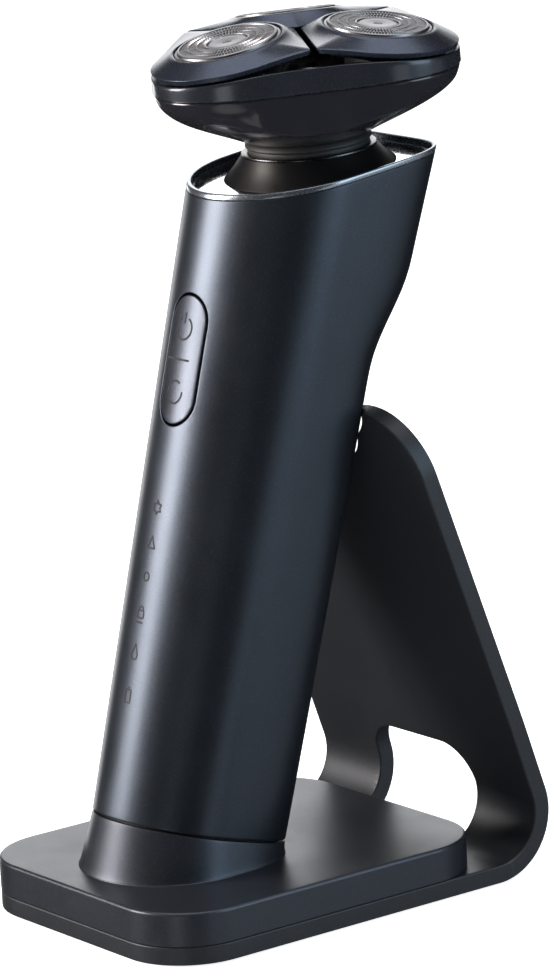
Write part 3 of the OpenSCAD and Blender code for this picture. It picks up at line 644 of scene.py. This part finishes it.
def neck(u):
    """The neck's outline from its foot at u = 0 to the head's seat at u = 1. It has a slight waist.

    Below 0 it runs on straight, under the deck.
    """
    tilt = SLANT - rad(LEAN)
    rim = on_handle([0, 0, RIM_S])
    x, y = 18.2 * np.cos(T), 5.6 + 17.2 * np.sin(T)
    low = np.column_stack([x, rim[1] + y * math.cos(tilt) + NECK_DROP * math.sin(tilt),
                           rim[2] + y * math.sin(tilt) - NECK_DROP * math.cos(tilt)])
    p = mix(low, on_head(polar(13.7, T, -25.2)), u)
    axis = np.column_stack([np.zeros(NT), np.full(NT, mix(29.5, 28.56, u)), p[:, 2]])
    return axis + (p - axis) * (1 - 0.012 * math.sin(math.pi * max(u, 0)))


rings = [neck(u) for u in np.linspace(-0.3, 0.99, 26)]
seat = [(13.62, -25.24), (13.5, -25.2), (12, -25.2), (5.3, -25.2), (5.2, -25.0), (5.2, -17.7), (5.0, -17.5),
        (3.9, -17.5), (3.8, -17.7), (3.8, -30)]
rings += [on_head(r) for r in lathe(seat, NT)]
v, f = loft(rings, True, True)
make("neck_body", v, f, "neck", "handle", ["neck_housing"])
round_ring = [(12.45, -25.2), (13.62, -25.2), (13.74, -25.1), (13.76, -24.95), (13.7, -24.8), (13.5, -24.7),
              (13.2, -24.68), (12.7, -24.7), (12.45, -24.8)]
v, f = loft([on_head(r) for r in lathe(round_ring, NT)], False, False, loop=True)
make("neck_trim", v, f, "chrome", "handle", ["neck_ring"])

# soft bellows between neck and head, in two tiers
low_tier = [(11.7, -25.1), (12.3, -25.1), (12.42, -24.8), (12.45, -24.2), (12.3, -23.85), (12.1, -23.78),
            (11.7, -23.78)]
high_tier = [(11.7, -23.82), (12.2, -23.82), (12.7, -23.7), (12.9, -23.45), (12.85, -23.1), (12.5, -22.6),
             (12.2, -22.36), (11.7, -22.36)]
for nm, pr, a, b, z0, z1 in (("boot_low", low_tier, "handle", "gimbal", -25.0, -23.8),
                             ("boot_high", high_tier, "gimbal", "coupling", -23.8, -22.4)):
    v, f = loft([on_head(r) for r in lathe(pr, 120)], False, False, loop=True)
    o = make(nm, v, f, "boot", None, ["neck_boot"])
    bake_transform(o)


# button, flush in its hole
def dome(p, d):
    """Plan points on the button's slightly domed face, d in from it."""
    lift = 0.04 * np.clip(1 - (np.abs(p[:, 0]) / 6) ** 2, 0, 1)
    return on_handle(skin(p[:, 0] / GIRTH, p[:, 1], lift - d))


grid = mesh_grid(-5.2, 5.2, BUTTON_S - 12.8, BUTTON_S + 12.8, 0.55, 0.8)
v, f = slab(dome, pill(11.1, 26.1), [], depth=1.6, edge=0.28, grid=grid, back=False)
make("rocker_button", v, f, "button", "button", ["mode_button"])


def stroke(line, closed, w):
    """The two edges of a flat stroke of width w along a plan line, with square ends."""
    line = np.asarray(line, float)
    path = np.vstack([line, line[:1]]) if closed else line
    p = spread_out(path, int(runs(path)[-1] / 0.15), closed)
    t = np.roll(p, -1, 0) - np.roll(p, 1, 0) if closed else np.gradient(p, axis=0)
    t /= np.maximum(np.hypot(*t.T), 1e-9)[:, None]
    n = np.column_stack([-t[:, 1], t[:, 0]]) * w / 2
    return p + n, p - n


PROUD = 0.05      # how far a mark stands above its surface, and how far it is let in


def inlay(name, lines, place, body, w, nodes=()):
    """Marks of flat strokes on a surface. Each line is its plan points and whether it is closed."""
    parts = []
    for line, closed in lines:
        a, b = stroke(line, closed, w)
        m = len(a)
        edges = [place(side, np.full(m, d)) for side, d in ((a, PROUD), (a, -PROUD), (b, -PROUD), (b, PROUD))]
        quads = [q for q in ring_faces(len(edges), m) if closed or q[0] % m < m - 1]
        parts.append((np.concatenate(edges), quads))
    return make(name, *join(*parts), "icon", body, nodes, weighted=False)


power = [(arc(-0.3, 99.9, 2.3, 120, 420, 60), False), ([(-0.3, 100.9), (-0.3, 103.1)], False)]
broken = [(arc(-0.3, 87.0, 2.3, a, a + 132, 30), False) for a in (55, 235)]
divider = [([(-5.1, BUTTON_S), (2.6, BUTTON_S)], False)]
inlay("button_marks", power + broken + divider, dome, "button", w=0.42)


def star(cx, cy, r0, r1, k):
    """A loop with k points out at r1 and k points in at r0."""
    t = np.radians(np.arange(2 * k) * 180 / k + 90)
    r = np.where(np.arange(2 * k) % 2 == 0, r1, r0)
    return np.column_stack([cx + r * np.cos(t), cy + r * np.sin(t)])


def box(half_width, low, high):
    return [(-half_width, low), (half_width, low), (half_width, high), (-half_width, high)]


icons = [
    (star(0, 63.6, 0.85, 1.4, 6), True),
    ([(0, 57.8), (1.15, 55.4), (-1.15, 55.4)], True),
    (arc(0, 49.6, 0.85, 0, 354, 40), True),
    # a lock: body, shackle and a line under it
    (box(0.95, 41.2, 42.7), True),
    (arc(0, 42.9, 0.65, 0, 180, 20), False),
    ([(-1.1, 40.3), (1.1, 40.3)], False),
    # a drop
    (np.vstack([arc(0, 33.7, 0.95, 150, 390, 30), [(0, 36.0)]]), True),
    # a battery and its cap
    (box(0.85, 24.0, 26.6), True),
    ([(-0.4, 27.05), (0.4, 27.05)], False),
]
inlay("indicator_icons", icons, skin_place, "handle", w=0.34, nodes=["indicator_windows"])


# ---------- cradle collar ----------

def gap_ring(inset, s):
    """The handle's outline s along it, moved in by inset."""
    return on_handle(skin(Q, s, -inset))


def drop_ring(z, spread=0.0):
    """The collar's outline dropped to height z, a little larger there, and by spread twentieths more."""
    p = gap_ring(0, 0)
    d = np.maximum(p[:, 2] - z, 0)
    front = look_up(TABLE, Q, np.zeros(NQ))[:, 1] < 0
    x = p[:, 0] * (1 + 0.0062 * d) * 1.02
    y = p[:, 1] - d * math.tan(rad(LEAN)) - 0.03 * d * front
    return np.column_stack([x + spread * x / 20, y + spread * (y - y.mean()) / 20, np.full(NQ, z)])


base_ring, top_ring = drop_ring(BLOCK_TOP), gap_ring(0, -0.12)
rings = [drop_ring(11.0, 0.22), drop_ring(11.2, 0.2), drop_ring(11.3, 0.1)]
for u in np.linspace(0, 1, 14):
    r = mix(base_ring, top_ring, u)
    flare = 0.08 * (1 - u) ** 6
    r = r + (r - r.mean(0)) * [1, 1, 0] / 20 * flare
    if u == 0:
        r[:, 2] += 0.18
    rings.append(r)
lip = [(0.04, 0.0), (0.16, 0.08), (0.3, 0.1), (0.95, 0.1), (1.15, 0.02), (1.25, -0.2), (1.25, -6.2),
       (3.0, -6.2)]
rings += [gap_ring(inset, s) for inset, s in lip]
v, f = loft(rings, False, True)
make("cradle_collar", v, f, "base", "stand", ["cradle_cup"])


# ---------- head ----------

NB = 300
TB = turn(NB)
C3 = np.cos(3 * (TB - rad(270)))     # 1 at a lobe, -1 between two
VALLEY = (1 - C3) / 2


def soft_min(a, b, k):
    """The smaller of a and b, with a soft change from one to the other."""
    h = np.clip(0.5 + 0.5 * (b - a) / k, 0, 1)
    return b * (1 - h) + a * h - k * h * (1 - h)


BOWL_Z = np.array([-22.3, -21.5, -19.8, -17.9, -15.7, -13.6, -11.7, -10.45])
BOWL_R = np.array([12.7, 14.4, 18.1, 22.5, 27.1, 30.4, 32.5, 33.3])
BOWL_FIT = np.polyfit(BOWL_Z, BOWL_R, 5)
BOWL_LOW, BOWL_TURN = -22.1, -10.8    # the bowl's foot, and where its round side turns into a steep one
OUTLINE = 28.95 + 4.3 * C3           # the head's outline, seen from above
FULLER = np.maximum(OUTLINE, 28.6)
SEAM = -9.3 - 0.25 * VALLEY ** 2     # height of the seam between bowl and band


def bowl_radius(z):
    return np.polyval(BOWL_FIT, np.minimum(z, BOWL_TURN)) + np.maximum(z - BOWL_TURN, 0) * 0.28


# a round bowl, scooped between the lobes, with a groove under the seam
rings = []
for u in np.linspace(0, 1, 72):
    z = mix(BOWL_LOW, SEAM, u)
    full = bowl_radius(z)
    general = mix(full / 33.4 * FULLER, full, ease((-z - 12) / 6))
    wall = OUTLINE - 0.38 * (SEAM - z)
    r = soft_min(general, wall, 0.45) - 0.3 * ease((z - SEAM + 0.35) / 0.35)
    rings.append(polar(r, TB, z))
bottom = lathe([(11.5, -15.2), (11.5, -22.1), (11.6, -22.25), (11.8, -22.3), (12.3, -22.3)], NB)
closing = [rings[-1] * [k, k, 1] + [0, 0, dz] for k, dz in ((0.993, 0.07), (0.96, 0.07), (0.93, -3))]
v, f = loft([on_head(r) for r in bottom + rings + closing], False, False)
make("bowl", v, f, "gloss", "head", ["head_bowl"], sharp=60)

# band: each ring is its share of the outline, its share of the way from the seam to the top, and a lift
TOP = -6.15 + 1.75 * np.sin(math.pi / 2 * np.minimum(1, 1.05 * VALLEY))
profile = [(0.935, 0, 0.3), (0.985, 0, 0.06), (0.992, 0, 0.12), (1.004, 0, 0.42), (1.004, 0.25, 0),
           (1.004, 0.5, 0), (1.004, 0.75, 0), (1.003, 1, -0.3), (0.998, 1, -0.12), (0.988, 1, -0.02),
           (0.976, 1, 0), (0.935, 1, -0.1)]
rings = [polar(OUTLINE * k, TB, mix(SEAM, TOP, u) + dz) for k, u, dz in profile]
v, f = loft([on_head(r) for r in rings], False, False, loop=True)
make("band", v, f, "band", "head", ["head_band"], sharp=40)


# ---------- pods and cutters ----------

POD_ROUND, POD_CORNER, POD_INNER = 15.8, 60, 14.6     # radius outside, the angle where it ends, reach inward
FAR = 99


def pod_reach(t):
    """How far a pod reaches from its middle at angle t: round outside, straight beside the other two pods."""
    a = np.abs((t + 180) % 360 - 180)
    side = np.where(a < 149, POD_ROUND / np.maximum(np.cos(np.radians(a - POD_CORNER)), 0.05), FAR)
    inner = np.where(a > 61, POD_INNER / np.maximum(np.cos(np.radians(a - 150)), 0.05), FAR)
    return np.where(a < POD_CORNER, POD_ROUND, np.minimum(side, inner))


def pod_rise(t):
    """How far a pod's edge rises at angle t, from outside to the middle of the head."""
    a = np.abs((t + 180) % 360 - 180)
    return np.interp(a, [0, 15, 30, 45, 60, 75, 90, 105, 180], [0, 0.1, 0.4, 0.78, 1.25, 1.95, 3.0, 4.1, 4.3])


degrees = np.linspace(0, 360, 360, endpoint=False)
plan = resample(polar(pod_reach(degrees), np.radians(degrees), 0)[:, :2], 0.28, 0.28)
POD_T = np.arctan2(plan[:, 1], plan[:, 0])
POD_R = np.hypot(*plan.T)
RISE = pod_rise(np.degrees(POD_T))


def pod_ring(k, z):
    """The pod's outline at k of its size. Its height is z plus the wave of its edge."""
    return polar(POD_R * k, POD_T, z + RISE)


def tilted(r, z):
    """A circle round the cutter that tips outward with it."""
    ring = polar(r, POD_T, z)
    ring[:, 2] -= ring[:, 0] * math.tan(rad(POD_TIP))
    return ring


def pod_mesh(a):
    """A pod's shell: its skirt, the facets that rise to a round brim, and the bore for the cutter."""
    skirt = [(0.80, -7.0), (0.82, -5.86), (0.955, -5.86), (0.972, -5.8), (0.98, -5.68), (0.996, -5.0),
             (0.998, -4.9), (0.994, -4.8)]
    rings = [pod_ring(k, z) for k, z in skirt]
    rings += [mix(pod_ring(0.985, -4.72), tilted(12.0, -0.38), u) for u in np.linspace(0, 1, 9)]
    rings += [tilted(r, z) for r, z in ((11.8, -0.27), (11.5, -0.17), (11.25, -0.14))]
    bore = [on_pod(polar(11.08, POD_T, z), a) for z in (-0.3, -4.6)]
    return loft([on_lobe(r, a) for r in rings] + bore, False, False)


TRACKS = (9.6, 8.05), (7.85, 6.3), (6.1, 4.7)      # outer and inner radius of each ring of slots
SLOT_PITCH = 0.62


def track(r_out, r_in):
    """A flat ring whose face steps between bars and the slots beside them."""
    slots = int(math.pi * (r_out + r_in) / SLOT_PITCH)
    t = turn(4 * slots)
    bar = (np.arange(4 * slots) // 2) % 2 == 0
    profile = ((r_out, 0.02, 0.02), (r_out - 0.1, 0.1, -0.16), (r_in + 0.1, 0.1, -0.16), (r_in, 0.02, 0.02))
    return loft([polar(r, t, np.where(bar, z_bar, z_slot)) for r, z_bar, z_slot in profile], False, False)


def cutter_mesh():
    """A cutter in its pod's frame: ring wall, three slotted tracks with ribs between, and a dished cap."""
    wall = [(10.05, -4.0), (10.85, -4.0), (10.9, -3.9), (10.9, -0.55), (10.82, -0.38), (10.6, -0.3),
            (10.35, -0.28), (10.28, -0.15), (10.22, 0.1), (10.1, 0.19), (9.9, 0.22), (9.75, 0.22),
            (9.66, 0.14), (9.6, 0.02)]
    cap = [(4.7, 0.02), (4.6, 0.12), (4.45, 0.16), (4.25, 0.14), (4.15, 0.0), (4.0, -0.1), (3.8, -0.02),
           (3.4, 0.02), (2.6, 0.0), (1.6, -0.05), (0.9, -0.1), (0.8, -0.2), (0.4, -0.24)]
    parts = [loft(lathe(wall, 180), False, False)] + [track(*radii) for radii in TRACKS]
    for (_, r_out), (r_in, _) in zip(TRACKS, TRACKS[1:]):
        rib = [(r_out, 0.02), (r_out - 0.03, 0.15), ((r_out + r_in) / 2, 0.18), (r_in + 0.03, 0.15),
               (r_in, 0.02)]
        parts.append(loft(lathe(rib, 180), False, False))
    return join(*parts, loft(lathe(cap, 120), False, True))


cutter_v, cutter_f = cutter_mesh()
for nm, a in (("front", 270), ("right", 30), ("left", 150)):
    v, f = pod_mesh(a)
    make("pod_" + nm, v, f, "pod", "pod_" + nm, ["pod_shell_" + nm], sharp=22)
    make("cutter_" + nm, on_pod(cutter_v, a), cutter_f, "steel", "pod_" + nm, ["outer_cutter_" + nm],
         sharp=35, weighted=False)


# ---------- stage, light and camera ----------

# from here on in metres
v, f = loft([polar(r, turn(128), 0) for r in (0.3, 1.0, 3.0, 8.0)], True, False)
floor_mesh = bpy.data.meshes.new("floor")
floor_mesh.from_pydata(v.tolist(), [], f)
floor = bpy.data.objects.new("floor", floor_mesh)
scene.collection.objects.link(floor)
white = bpy.data.materials.new("floor_white")
white.use_nodes = True
surface = white.node_tree.nodes["Principled BSDF"].inputs
surface["Base Color"].default_value = (0.9, 0.9, 0.9, 1)
surface["Roughness"].default_value = 0.9
surface["Specular IOR Level"].default_value = 0.1
surface["Emission Color"].default_value = (1, 1, 1, 1)
surface["Emission Strength"].default_value = 0.85
floor_mesh.materials.append(white)
floor.visible_glossy = False

world = bpy.data.worlds.new("studio")
scene.world = world
world.use_nodes = True
nodes, links = world.node_tree.nodes, world.node_tree.links
directions = nodes.new("ShaderNodeTexCoord").outputs["Generated"]


def compass(azimuth, elevation):
    a, e = rad(azimuth), rad(elevation)
    return Vector((math.cos(a) * math.cos(e), math.sin(a) * math.cos(e), math.sin(e)))


def patch(direction, lo, hi, gain):
    """A soft patch of light in one direction. lo and hi are cosines, where it starts and where it is full."""
    near = nodes.new("ShaderNodeVectorMath")
    near.operation = "DOT_PRODUCT"
    near.inputs[1].default_value = direction.normalized()
    links.new(directions, near.inputs[0])
    soft = nodes.new("ShaderNodeMapRange")
    soft.interpolation_type = "SMOOTHSTEP"
    for key, limit in zip(("From Min", "From Max", "To Min", "To Max"), (lo, hi, 0, gain)):
        soft.inputs[key].default_value = limit
    links.new(near.outputs["Value"], soft.inputs["Value"])
    return soft.outputs["Result"]


def added(one, two):
    node = nodes.new("ShaderNodeMath")
    links.new(one, node.inputs[0])
    links.new(two, node.inputs[1])
    return node.outputs[0]


patches = [patch(compass(azimuth, elevation), *rest) for azimuth, elevation, *rest in (
    (0, 90, 0.5, 0.95, 0.35),
    (143.8, 13, 0.93, 0.99, 2.4),
    (-122, 2, 0.88, 0.995, 1.0),
    (-56, -12, 0.98, 0.998, 1.8),
    (2, -12, 0.98, 0.998, 1.0),
    (165, -8, 0.982, 0.998, 2.4),
    (-58, -54, 0.955, 0.997, 0.55),
    (38, -11, 0.87, 0.99, 0.42),
    (50, 55, 0.9, 0.99, 0.7))]
everywhere = nodes.new("ShaderNodeMath")
links.new(reduce(added, patches), everywhere.inputs[0])
everywhere.inputs[1].default_value = 0.014
# the camera sees plain white, and every other ray sees the patches
seen = nodes.new("ShaderNodeMix")
links.new(nodes.new("ShaderNodeLightPath").outputs["Is Camera Ray"], seen.inputs[0])
links.new(everywhere.outputs[0], seen.inputs[2])
seen.inputs[3].default_value = 1.0
background = nodes["Background"].inputs
links.new(seen.outputs[0], background["Strength"])
background["Color"].default_value = (1, 1, 1, 1)


def area_light(name, place, aim, size, watts, colour=(1, 1, 1)):
    light = bpy.data.lights.new(name, "AREA")
    light.shape = "RECTANGLE"
    light.size, light.size_y = size
    light.energy = watts
    light.color = colour
    o = bpy.data.objects.new(name, light)
    scene.collection.objects.link(o)
    o.location = Vector(place)
    o.rotation_euler = (Vector(aim) - Vector(place)).to_track_quat("-Z", "Y").to_euler()


centre = (0, 0.01, 0.09)
area_light("key_left", (-0.53, -0.76, 0.42), (0, 0.01, 0.11), (0.4, 0.6), 14, (1.0, 0.92, 0.85))
area_light("top_soft", (-0.1, 0.1, 1.1), centre, (0.9, 0.9), 4.5)
area_light("right_strip", (0.93, 0.46, 0.42), centre, (0.5, 0.8), 4.2, (0.66, 0.88, 1.0))

AZIMUTH, ELEVATION, ROLL, DISTANCE = 53.32, 13.0, rad(-3.0), 1.05705
TARGET = Vector((0.020966, 0, 0.08942))
backward = compass(AZIMUTH - 90, ELEVATION)
level = Vector((math.cos(rad(AZIMUTH)), math.sin(rad(AZIMUTH)), 0))
upright = backward.cross(level)
right = math.cos(ROLL) * level + math.sin(ROLL) * upright
up = -math.sin(ROLL) * level + math.cos(ROLL) * upright
lens = bpy.data.cameras.new("camera")
lens.sensor_width = 36
lens.lens = 198.0
lens.clip_start, lens.clip_end = 0.01, 50
camera = bpy.data.objects.new("camera", lens)
scene.collection.objects.link(camera)
placed = Matrix((right, up, backward)).transposed().to_4x4()
placed.translation = TARGET + backward * DISTANCE
camera.matrix_world = placed
scene.camera = camera
